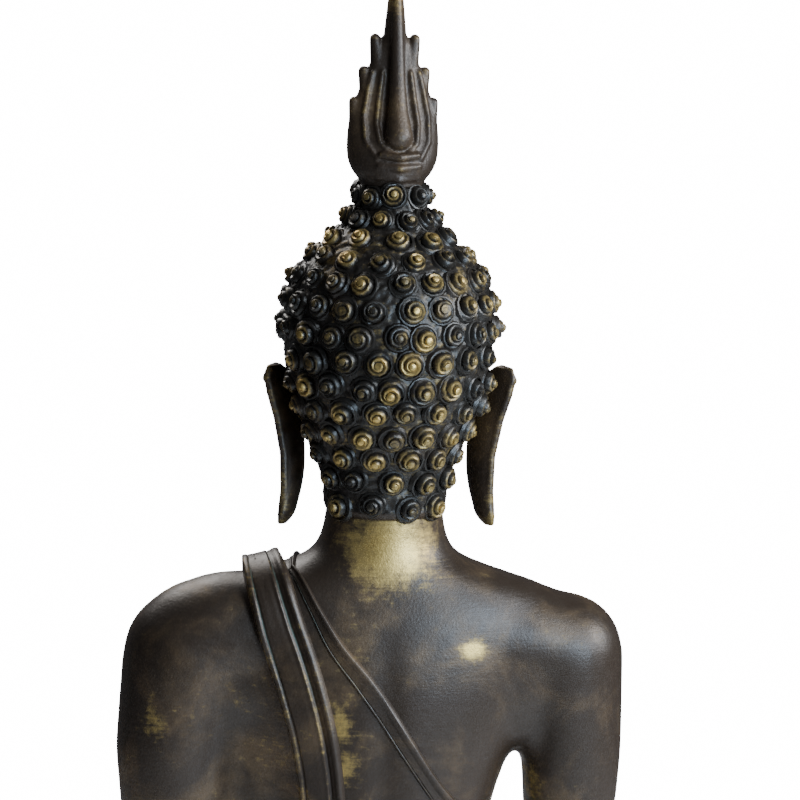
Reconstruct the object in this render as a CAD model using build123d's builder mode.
"""A seated bronze Buddha in the earth-touching pose, on a moulded plinth.

Millimetres, +Z up. The figure faces -Y, so its left hand is on the +X side. The origin is the
middle of the underside. The figure is hollow cast in sections that are brazed together. It stands
on the plinth by three pegs, and the flame finial stands in a socket on top of the head.
"""

import os
from math import asin, cos, degrees, pi, radians, sin

from build123d import *

# Driving dimensions
wall = 6.0  # thickness of the castings
body_y = 35.0  # the neck and head stand on this line in depth
waist_y = 43.0  # the waist sits a little further back
half_shoulder = 112.0  # from the middle to the centre of each shoulder
neck_radius = 35.5

pad_height = 2.0
plinth_width, plinth_depth, plinth_corner = 450.0, 250.0, 108.0
seat_z = 85.0  # top of the plinth, underside of the figure
waist_z = 165.0  # joint between the legs and the torso
neck_z = 466.0  # joint between the neck and the head
crown_z = 661.0  # top of the head, where the finial stands
finial_top_z = 798.0
finial_turn = 8.0  # degrees that the finial stands turned in its round socket

tenon_radius, tenon_length = 9.0, 22.0
peg_radius, peg_length = 8.0, 12.0
running_gap = 0.3
peg_places = [(0.0, 66.0), (-48.0, 26.0), (48.0, 26.0)]

up = Vector(0, 0, 1)


# Shared shapes


def limb(start, start_radius, end, end_radius):
    """A tapered limb with round ends, turned about the line from start to end."""
    start, along = Vector(*start), Vector(*end) - Vector(*start)
    length, axis = along.length, along.normalized()
    side = axis.cross(up if abs(axis.Z) < 0.9 else Vector(1, 0, 0)).normalized()
    flank = asin((start_radius - end_radius) / length)
    foot = (start_radius * cos(flank), start_radius * sin(flank))
    head = (end_radius * cos(flank), length + end_radius * sin(flank))
    with BuildPart() as made:
        with BuildSketch(Plane(origin=start, x_dir=side, z_dir=side.cross(axis))):
            with BuildLine():
                CenterArc((0, 0), start_radius, -90, 90 + degrees(flank))
                Line(foot, head)
                CenterArc((0, length), end_radius, degrees(flank), 90 - degrees(flank))
                Line((0, length + end_radius), (0, -start_radius))
            make_face()
        revolve(axis=Axis(start, axis))
    return made.part


def stack_of_ellipses(sections, grow=0.0, drop=0.0):
    """A loft through level ellipses, each given as height, half width, half depth and middle."""
    with BuildPart() as made:
        for height, half_width, half_depth, middle in sections:
            lowered = height - drop if waist_z < height < neck_z else height
            with BuildSketch(Plane.XY.offset(lowered)):
                with Locations((0, middle)):
                    Ellipse(half_width + grow, half_depth + grow)
        loft()
    return made.part


def slab(outline, low_y, high_y):
    """A prism in depth over a closed outline of (x, z) points."""
    with BuildPart() as made:
        with BuildSketch(Plane.XZ.offset(-high_y)):
            with BuildLine():
                Polyline(*outline, close=True)
            make_face()
        extrude(amount=high_y - low_y)
    return made.part


def save(part, name):
    """Labels a finished piece and writes it under its node's name."""
    part.label = name
    export_step(part, f"parts/{name}.step")


os.makedirs("parts", exist_ok=True)


# Plinth: a hollow casting of stacked mouldings, closed below by a plate on felt pads

plinth_bottom = pad_height
ledge_inset, rebate_inset, rebate_depth = 26.0, 18.0, 3.0
mouldings = [  # inset of each tier, its bottom and its top
    (0.0, plinth_bottom, 18.0),
    (7.0, 18.0, 24.0),
    (16.0, 24.0, 62.0),
    (9.0, 62.0, 67.0),
    (4.0, 67.0, seat_z),
]
screw_places = [(x, y) for x in (-88.0, 0.0, 88.0) for y in (-103.0, 103.0)]
screw_radius, screw_length = 2.0, 11.0
pad_places = [(x, y) for x in (-120.0, 120.0) for y in (-70.0, 70.0)] + [(0.0, 0.0)]


def plinth_outline(inset):
    return RectangleRounded(
        plinth_width - 2 * inset, plinth_depth - 2 * inset, plinth_corner - inset
    )


with BuildPart() as plinth_body:
    for inset, low, high in mouldings:
        with BuildSketch(Plane.XY.offset(low)):
            plinth_outline(inset)
        extrude(amount=high - low)
    fillet(plinth_body.faces().sort_by(Axis.Z)[-1].outer_wire().edges(), 7.0)
    with BuildSketch(Plane.XY.offset(plinth_bottom)):
        plinth_outline(rebate_inset)
    extrude(amount=rebate_depth, mode=Mode.SUBTRACT)
    with BuildSketch(Plane.XY.offset(plinth_bottom + rebate_depth)):
        plinth_outline(ledge_inset)
    extrude(amount=seat_z - wall - plinth_bottom - rebate_depth, mode=Mode.SUBTRACT)
    with Locations(*[(x, y, plinth_bottom + rebate_depth) for x, y in screw_places]):
        Cylinder(
            screw_radius,
            screw_length - rebate_depth,
            align=(Align.CENTER, Align.CENTER, Align.MIN),
            mode=Mode.SUBTRACT,
        )
    with Locations(*[(x, y, seat_z - wall) for x, y in peg_places]):
        Cylinder(
            peg_radius + running_gap,
            wall,
            align=(Align.CENTER, Align.CENTER, Align.MIN),
            mode=Mode.SUBTRACT,
        )
save(plinth_body.part, "plinth_body")

with BuildPart() as screw:
    Cylinder(screw_radius, screw_length, align=(Align.CENTER, Align.CENTER, Align.MIN))
    Cone(4.0, screw_radius, 2.0, align=(Align.CENTER, Align.CENTER, Align.MIN))

with BuildPart() as cover_plate:
    with BuildSketch(Plane.XY.offset(plinth_bottom)):
        plinth_outline(rebate_inset + running_gap)
    extrude(amount=rebate_depth)
    for x, y in screw_places:
        add(screw.part.moved(Location((x, y, plinth_bottom))), mode=Mode.SUBTRACT)
save(cover_plate.part, "cover_plate")

screws = [screw.part.moved(Location((x, y, plinth_bottom))) for x, y in screw_places]
save(Compound([s.solid() for s in screws]), "cover_screws")

with BuildPart() as felt_pads:
    with Locations(*[(x, y, 0) for x, y in pad_places]):
        Cylinder(13.0, pad_height, align=(Align.CENTER, Align.CENTER, Align.MIN))
save(felt_pads.part, "felt_pads")


# Legs: folded in the half lotus, one hollow casting that is open below

hips = [  # height, half width, half depth, middle
    (seat_z, 84.0, 50.0, 44.0),
    (108.0, 88.0, 55.0, 44.0),
    (136.0, 82.0, 53.0, 43.5),
    (waist_z, 73.0, 47.0, waist_y),
]
leg_limbs = [  # start, radius, end, radius
    ((46, 46, 116), 42, (168, -20, 114), 34),  # left thigh
    ((-46, 46, 116), 42, (-168, -20, 114), 34),  # right thigh
    ((166, -30, 111), 30, (-34, -72, 107), 22),  # left shin, underneath
    ((-166, -32, 114), 30, (52, -60, 134), 19),  # right shin, on top
    ((96, -16, 108), 31, (-96, -18, 109), 32),  # the cloth that fills the lap
]


def legs_solid(thinner):
    """The legs with every radius reduced, cut flat at the seat and at the waist."""
    with BuildPart() as made:
        for start, start_radius, end, end_radius in leg_limbs:
            add(limb(start, start_radius - thinner, end, end_radius - thinner))
        add(stack_of_ellipses(hips, grow=-thinner))
        split(bisect_by=Plane.XY.offset(seat_z), keep=Keep.TOP)
    return made.part


legs_core = legs_solid(wall)
with BuildPart() as legs_casting:
    add(legs_solid(0))
    add(legs_core, mode=Mode.SUBTRACT)
save(legs_casting.part, "legs_casting")

plate_thickness = 5.0
with BuildPart() as seat_plate:  # closes the opening under the hips
    with BuildSketch(Plane.XY.offset(seat_z)):
        with Locations((0, hips[0][3])):
            Ellipse(hips[0][1] - wall - 0.05, hips[0][2] - wall - 0.05)
    extrude(amount=plate_thickness)
    with Locations(*[(x, y, seat_z) for x, y in peg_places]):
        Cylinder(
            peg_radius / 2,
            plate_thickness,
            align=(Align.CENTER, Align.CENTER, Align.MIN),
            mode=Mode.SUBTRACT,
        )
save(seat_plate.part, "seat_plate")

with BuildPart() as locating_pegs:
    with Locations(*[(x, y, seat_z - peg_length) for x, y in peg_places]):
        Cylinder(peg_radius, peg_length, align=(Align.CENTER, Align.CENTER, Align.MIN))
    with Locations(*[(x, y, seat_z) for x, y in peg_places]):
        Cylinder(
            peg_radius / 2,
            plate_thickness,
            align=(Align.CENTER, Align.CENTER, Align.MIN),
        )
save(locating_pegs.part, "locating_pegs")


# Torso: waist, chest, shoulders and neck

torso_sections = [  # height, half width, half depth, middle
    (waist_z, 73.0, 47.0, waist_y),
    (195.0, 67.0, 41.0, 43.0),
    (230.0, 64.0, 39.0, 42.0),
    (265.0, 66.0, 42.0, 40.0),
    (300.0, 72.0, 47.0, 37.0),
    (335.0, 87.0, 51.0, 34.0),
    (365.0, 102.0, 52.0, 33.0),
    (388.0, 112.0, 49.0, 34.0),
    (403.0, 114.0, 45.0, 35.0),
    (414.0, 109.0, 41.0, 36.0),
    (424.0, 95.0, 38.0, 36.0),
    (433.0, 72.0, 37.0, 36.0),
    (442.0, 50.0, 36.0, body_y),
    (453.0, 37.5, 35.5, body_y),
    (neck_z, neck_radius, neck_radius, body_y),
]
torso_core = stack_of_ellipses(torso_sections)
torso_hollow = stack_of_ellipses(torso_sections[:-1], grow=-wall, drop=4.0)
spigot_radius, spigot_length = 28.0, 26.0  # the sleeve that joins the neck to the head

# Square bronze plugs let into the back and the robed arm, where the core pins came out
plug_places = [(-55.0, 382.0, 9.0, 8.0), (27.0, 339.0, 11.0, 14.0), (28.0, 320.0, 12.0, 15.0)]


def plug_prism(place):
    x, z, width, height = place
    with BuildPart() as made:
        with Locations((x, body_y + 45, z)):
            Box(width, 60, height)
    return made.part


with BuildPart() as torso_casting:
    add(torso_core)
    add(torso_hollow, mode=Mode.SUBTRACT)
    with Locations((0, body_y, neck_z)):
        Cylinder(spigot_radius, 2 * spigot_length, mode=Mode.SUBTRACT)
    for place in plug_places:
        add(plug_prism(place), mode=Mode.SUBTRACT)
save(torso_casting.part, "torso_casting")

plugs = []
for place in plug_places:
    with BuildPart() as plug:
        add(plug_prism(place))
        add(torso_core, mode=Mode.INTERSECT)
        add(torso_hollow, mode=Mode.SUBTRACT)
    plugs.append(plug.part.solid())
save(Compound(plugs), "core_pin_plugs")


# Arms: the bare right arm reaches to the knee, the robed left arm rests in the lap

right_arm_limbs = [
    ((-half_shoulder, body_y, 386), 33, (-117, 31, 246), 24),
    ((-117, 31, 247), 23.5, (-139, -26, 172), 15.5),
]
left_arm_limbs = [
    ((half_shoulder + 5, body_y, 385), 37, (129, 33, 246), 28),
    ((129, 33, 247), 27.5, (66, -36, 188), 18),
]


def arm(limbs, *extra):
    """An arm with a hollow in it, cut to meet the torso and legs."""
    with BuildPart() as made:
        for start, start_radius, end, end_radius in limbs:
            add(limb(start, start_radius, end, end_radius))
        for piece in extra:
            add(piece)
        start, start_radius, end, end_radius = limbs[0]
        add(limb(start, start_radius - wall, end, end_radius - wall), mode=Mode.SUBTRACT)
        add(torso_core, mode=Mode.SUBTRACT)
    return made.part


right_arm = arm(right_arm_limbs)
save(right_arm, "right_arm")

# The robe spans from the left arm to the side of the body
web_outline = [(50, 196), (112, 205), (124, 250), (126, 345), (80, 345), (60, 270)]
left_arm = arm(left_arm_limbs, slab(web_outline, body_y, body_y + 14))
save(left_arm, "left_arm_robed")


# Hands

right_wrist = (-139.5, -29.0, 170.0)
right_hand_limbs = [
    (right_wrist, 14.0, (-139, -56, 156), 14.0),  # back of the hand
    ((-147, -60, 150), 8.0, (-146, -76, 128), 6.5),
    ((-132, -60, 150), 8.0, (-131, -76, 127), 6.5),
    ((-151, -73, 134), 6.2, (-148, -78, 100), 4.6),
    ((-142, -75, 132), 6.2, (-140.5, -79, 98), 4.6),
    ((-133, -75, 131), 6.2, (-133, -79, 98), 4.6),
    ((-125, -73, 131), 6.0, (-125.5, -78, 101), 4.4),
    ((-127, -50, 154), 8.0, (-114, -70, 138), 5.0),  # thumb
]
with BuildPart() as right_hand:
    for start, start_radius, end, end_radius in right_hand_limbs:
        add(limb(start, start_radius, end, end_radius))
    add(right_arm, mode=Mode.SUBTRACT)
    add(legs_solid(0), mode=Mode.SUBTRACT)
save(right_hand.part, "right_hand")

left_hand_limbs = [
    ((64, -38, 186), 15.0, (34, -56, 174), 13.0),
    ((34, -64, 172), 9.0, (8, -64, 168), 7.5),
    ((34, -48, 173), 9.0, (8, -48, 169), 7.5),
    ((10, -72, 168), 6.0, (-26, -72, 165), 4.6),
    ((9, -63, 169), 6.2, (-29, -62, 166), 4.6),
    ((9, -54, 169.5), 6.2, (-28, -52, 167), 4.6),
    ((10, -45, 169), 6.0, (-24, -42, 167), 4.4),
    ((36, -44, 180), 8.0, (10, -40, 182), 5.0),  # thumb
]
with BuildPart() as left_hand:
    for start, start_radius, end, end_radius in left_hand_limbs:
        add(limb(start, start_radius, end, end_radius))
    add(left_arm, mode=Mode.SUBTRACT)
    add(legs_solid(0), mode=Mode.SUBTRACT)
save(left_hand.part, "left_hand")


# Feet: the right sole lies upwards on the left thigh, the left foot shows under the right knee

right_foot_limbs = [
    ((50, -60, 138), 18.0, (104, -42, 148), 15.0),
    ((98, -36, 150), 12.0, (126, -26, 152), 9.0),
    ((100, -50, 149), 12.0, (128, -42, 150), 9.0),
]
with BuildPart() as right_foot:
    for start, start_radius, end, end_radius in right_foot_limbs:
        add(limb(start, start_radius, end, end_radius))
    for k in range(5):
        along = Vector(128, -46 + 6 * k, 150 + 0.6 * k)
        add(limb(along, 5.0 - 0.3 * k, along + Vector(13 - k, 3, 0), 4.2 - 0.3 * k))
    add(legs_solid(0), mode=Mode.SUBTRACT)
save(right_foot.part, "right_foot")

left_foot_limbs = [((-36, -78, 100), 17.0, (-104, -72, 97), 12.0)]
with BuildPart() as left_foot:
    for start, start_radius, end, end_radius in left_foot_limbs:
        add(limb(start, start_radius, end, end_radius))
    add(legs_solid(0), mode=Mode.SUBTRACT)
    split(bisect_by=Plane.XY.offset(seat_z), keep=Keep.TOP)
save(left_foot.part, "left_foot")


# Robe: the shoulder cloth and the hem are strips that hug the torso

cloth = 2.6
with BuildPart() as cloth_layer:
    add(stack_of_ellipses(torso_sections, grow=cloth, drop=-1.5))
    add(torso_core, mode=Mode.SUBTRACT)
    add(right_arm, mode=Mode.SUBTRACT)
    add(left_arm, mode=Mode.SUBTRACT)

sash_back = [(84, 445), (50, 445), (47, 400), (40, 370), (33, 335), (28, 295), (26, 235), (24, 172),
             (52, 172), (52, 235), (54, 295), (60, 335), (69, 370), (77, 400)]  # fmt: skip
sash_front = [(84, 445), (50, 445), (50, 400), (47, 350), (44, 316), (51, 308), (58, 316),
              (65, 308), (72, 316), (74, 350), (80, 400)]  # fmt: skip
hem_back = [(50, 436), (38, 414), (18, 382), (-6, 345), (-28, 308), (-40, 288), (-60, 268), (-95, 250),
            (-95, 258), (-64, 277), (-47, 294), (-34, 314), (-12, 351), (12, 388), (33, 420), (44, 440)]  # fmt: skip
hem_front = [(44, 440), (30, 408), (6, 370), (-26, 334), (-60, 300), (-95, 272),
             (-95, 264), (-54, 292), (-20, 326), (12, 362), (37, 402), (50, 436)]  # fmt: skip

with BuildPart() as shoulder_cloth:
    add(slab(sash_back, body_y, 150))
    add(slab(sash_front, -80, body_y))
    add(cloth_layer.part, mode=Mode.INTERSECT)
save(shoulder_cloth.part, "shoulder_cloth")

with BuildPart() as robe_hem:
    add(slab(hem_back, body_y, 150))
    add(slab(hem_front, -80, body_y))
    add(cloth_layer.part, mode=Mode.INTERSECT)
    add(shoulder_cloth.part, mode=Mode.SUBTRACT)
save(robe_hem.part, "robe_hem")


# Head: a body of revolution under the curls, with the face as a tapered mask in front of it

head_plane = Plane(origin=(0, body_y, 0), x_dir=(1, 0, 0), z_dir=(0, -1, 0))
head_axis = Axis((0, body_y, 0), (0, 0, 1))
scalp_points = [  # radius and height, from the nape to the top of the ushnisha
    (36.5, 468), (38.5, 484), (42.5, 498), (49, 514), (55, 530), (59.5, 546), (62, 562), (62.5, 578),
    (60.5, 592), (56.5, 604), (49.5, 615), (39.5, 625), (30, 635), (23, 646), (19, crown_z)]  # fmt: skip
scalp_inside = [(spigot_radius, 480), (36, 500), (48, 528), (55, 556), (55.5, 580), (49, 600), (33, 613)]
face_sections = [  # height, half width, half depth, middle
    (471, 14, 16, 10),
    (477, 24, 24, 8),
    (490, 34, 32, 5),
    (508, 43, 39, 7),
    (528, 48.5, 42, 9),
    (550, 51, 43, 12),
    (572, 51, 41, 15),
    (590, 46, 36, 21),
    (602, 36, 28, 27),
]
nose = ((0, -27, 547), 4, (0, -32.5, 524), 6.5)

with BuildPart() as scalp_core:
    with BuildSketch(head_plane):
        with BuildLine():
            Line((0, neck_z), (neck_radius, neck_z))
            Line((neck_radius, neck_z), scalp_points[0])
            scalp_line = Spline(*scalp_points)
            Polyline(scalp_points[-1], (0, crown_z), (0, neck_z))
        make_face()
    revolve(axis=head_axis)
    add(stack_of_ellipses(face_sections))
    add(limb(*nose))

with BuildPart() as head_casting:
    add(scalp_core.part)
    with BuildSketch(head_plane):
        with BuildLine():
            Polyline((0, 613), (0, neck_z), (spigot_radius, neck_z), scalp_inside[0])
            Spline(*scalp_inside)
            Line(scalp_inside[-1], (0, 613))
        make_face()
    revolve(axis=head_axis, mode=Mode.SUBTRACT)
    with Locations((0, body_y, crown_z)):
        Cylinder(
            tenon_radius + running_gap,
            tenon_length + 2,
            align=(Align.CENTER, Align.CENTER, Align.MAX),
            mode=Mode.SUBTRACT,
        )
save(head_casting.part, "head_casting")

with BuildPart() as neck_spigot:
    with Locations((0, body_y, neck_z)):
        Cylinder(spigot_radius - 0.05, spigot_length)
        Cylinder(spigot_radius - 4, spigot_length, mode=Mode.SUBTRACT)
save(neck_spigot.part, "neck_spigot")


# Ears: long plates that flare outwards, brazed to the sides of the head

ear_sections = [  # height, x, y, half thickness, half width
    (458, 60, 35, 1.6, 3.0),
    (462, 58.5, 34, 3.0, 6.5),
    (471, 56, 32, 3.8, 9.0),
    (486, 54.5, 30, 4.0, 10.5),
    (505, 55.5, 29, 4.0, 13.0),
    (525, 58.5, 29, 4.0, 15.5),
    (545, 63.5, 31, 3.8, 16.5),
    (556, 66.5, 34, 3.2, 12.0),
    (561, 68, 36, 2.0, 5.0),
]
ear_flare = 32.0
with BuildPart() as left_ear:
    for height, x, y, half_thickness, half_width in ear_sections:
        with BuildSketch(Plane.XY.offset(height)):
            with Locations((x, y)):
                Ellipse(half_thickness, half_width, rotation=-ear_flare)
    loft()
    add(scalp_core.part, mode=Mode.SUBTRACT)
save(left_ear.part.solids().sort_by(Axis.X)[-1], "left_ear")

with BuildPart() as right_ear:
    add(left_ear.part.solids().sort_by(Axis.X)[-1])
    mirror(about=Plane.YZ, mode=Mode.REPLACE)
save(right_ear.part, "right_ear")


# Curls: stepped snail shells in staggered rows over the scalp

curl_radius, curl_height = 7.0, 7.5
row_pitch, curl_pitch = 15.4, 19.0
small_above_z = 630.0
face_half_angle, ear_half_angle = 66.0, 17.0
hairline_z, ear_top_z = 586.0, 574.0


def curl_solid(scale_by):
    """One curl with two steps and a blunt tip, standing on the origin."""
    r, h = curl_radius * scale_by, curl_height * scale_by
    with BuildPart() as made:
        with BuildSketch(Plane.XZ):
            with BuildLine():
                Polyline((0, 0), (r, 0), (0.9 * r, 0.4 * h), (0.64 * r, 0.46 * h),
                         (0.54 * r, 0.8 * h), (0.22 * r, h), (0, h), close=True)  # fmt: skip
            make_face()
        revolve(axis=Axis.Z)
    return made.part.solid()


def bare(angle, z):
    """Whether a place on the scalp carries no curl: the face, and where the ears join."""
    from_front = abs((angle + 90 + 180) % 360 - 180)
    on_face = from_front < face_half_angle and z < hairline_z + 4 * cos(radians(3 * from_front))
    behind_ear = abs(from_front - 86) < ear_half_angle and z < ear_top_z
    under_temple = from_front < 80 and z < 545
    return on_face or behind_ear or under_temple


def lift_clear(at, out):
    """How far a curl's flat base has to stand off where the profile is hollow."""
    near = [scalp_line.position_at(s / 200) for s in range(201)]
    return max([(p - at).dot(out) for p in near if (p - at).length < curl_radius] + [0.0])


large_curl, small_curl = curl_solid(1.0), curl_solid(0.72)
curl_groups = {
    name: [] for name in ("curls_ushnisha", "curls_crown", "curls_back", "curls_left", "curls_right")
}
rows = int(scalp_line.length // row_pitch)
for row in range(rows + 1):
    share = 1 - (row * row_pitch + 5.0) / scalp_line.length
    if share <= 0.01:
        continue
    at, tangent = scalp_line.position_at(share), scalp_line.tangent_at(share)
    radius, z = at.X, at.Y
    small = z > small_above_z
    out = Vector(tangent.Y, -tangent.X)
    stand = lift_clear(at, out) + 0.02
    across = curl_pitch * (0.72 if small else 1.0)
    count = max(6, round(2 * pi * radius / across))
    for k in range(count):
        wobble = sin(12.9898 * (31 * row + k))
        angle = 90 + 360 * (k + 0.5 * (row % 2) + 0.13 * wobble) / count
        if bare(angle, z):
            continue
        turn = radians(angle)
        spot = Vector(
            (radius + stand * out.X) * cos(turn),
            body_y + (radius + stand * out.X) * sin(turn),
            z + stand * out.Y,
        )
        normal = Vector(out.X * cos(turn), out.X * sin(turn), out.Y)
        from_back = (angle - 90 + 180) % 360 - 180
        if small:
            group = "curls_ushnisha"
        elif z > 600:
            group = "curls_crown"
        elif abs(from_back) < 48:
            group = "curls_back"
        else:
            group = "curls_right" if from_back > 0 else "curls_left"
        curl = small_curl if small else large_curl
        curl_groups[group].append(curl.moved(Plane(origin=spot, z_dir=normal).location))
for name, curls in curl_groups.items():
    save(Compound(curls), name)


# Finial: a flame with side tongues over a bulb, on a round tenon

finial_plane = Plane(origin=(0, body_y, 0), x_dir=(1, 0, 0), z_dir=(0, -1, 0))
bulb_outline = [(19, 663.5), (22.5, 668), (26.5, 674), (27.5, 684), (25, 697), (15, 712)]
flame_edge = [(20, 676), (26, 684), (25, 700), (26.5, 714), (20.5, 709), (20, 730), (14.5, 725),
              (14, 750), (9, 742), (6.5, 760), (1.5, finial_top_z)]  # fmt: skip
blade_half = 6.5

with BuildPart() as flame_finial:
    with BuildSketch(finial_plane):
        with BuildLine():
            Polyline((0, 712), (0, crown_z), (19, crown_z), bulb_outline[0])
            Spline(*bulb_outline)
            Line(bulb_outline[-1], (0, 712))
        make_face()
    revolve(axis=head_axis)
    with BuildSketch(finial_plane.offset(-blade_half)):
        with BuildLine():
            Polyline(*flame_edge, *[(-x, z) for x, z in reversed(flame_edge)], close=True)
        make_face()
    extrude(amount=2 * blade_half)
    add(limb((0, body_y, 690), 17, (0, body_y, finial_top_z - 2.2), 2.0))
    with Locations((0, body_y, crown_z)):
        Cylinder(
            tenon_radius, tenon_length, align=(Align.CENTER, Align.CENTER, Align.MAX)
        )
turned = flame_finial.part.rotate(head_axis, finial_turn)
save(turned, "flame_finial")


# Armature: iron left in the casting, which ties the sections together

with BuildPart() as armature_bars:
    with Locations((0, body_y + 5, 250), (0, body_y - 2, 385)):
        Cylinder(4.0, 260, rotation=(0, 90, 0))
    add(torso_hollow, mode=Mode.INTERSECT)
save(armature_bars.part, "armature_bars")

with BuildPart() as armature_rod:
    with Locations((0, body_y + 14, seat_z + plate_thickness)):
        Cylinder(4.5, 613 - seat_z - plate_thickness, align=(Align.CENTER, Align.CENTER, Align.MIN))
save(armature_rod.part, "armature_rod")
